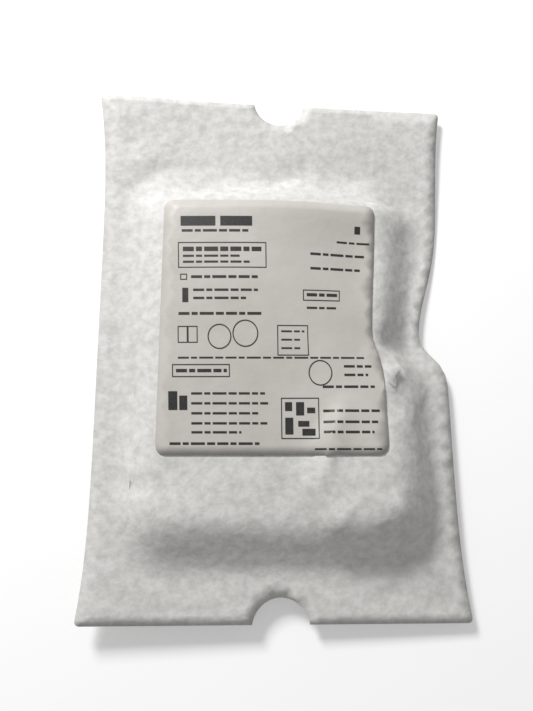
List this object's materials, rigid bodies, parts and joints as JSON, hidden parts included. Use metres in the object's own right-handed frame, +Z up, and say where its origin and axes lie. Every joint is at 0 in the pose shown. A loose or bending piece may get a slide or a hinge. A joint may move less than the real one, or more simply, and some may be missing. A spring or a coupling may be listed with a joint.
{
  "type": "sealed sterile peel pouch",
  "caption": "Sealed white peel pouch with a formed pocket, a thumb notch in each end and a rectangular adhesive label over its bulging, creased face.",
  "frame": {"origin": "on the surface that the pouch lies on, under the middle of its bounding box", "axes": "+X to the right across the label's face, +Y towards the head of the label, +Z up out of the label's face"},
  "size_m": [0.1304, 0.188, 0.0202],
  "materials": {
    "spunbonded_web": "cloudy spunbonded olefin sheet, satin",
    "label_paper": "smooth coated label paper"
  },
  "bodies": {
    "root": {"pouch": "spunbonded_web", "label": "label_paper"}
  },
  "joints": []
}
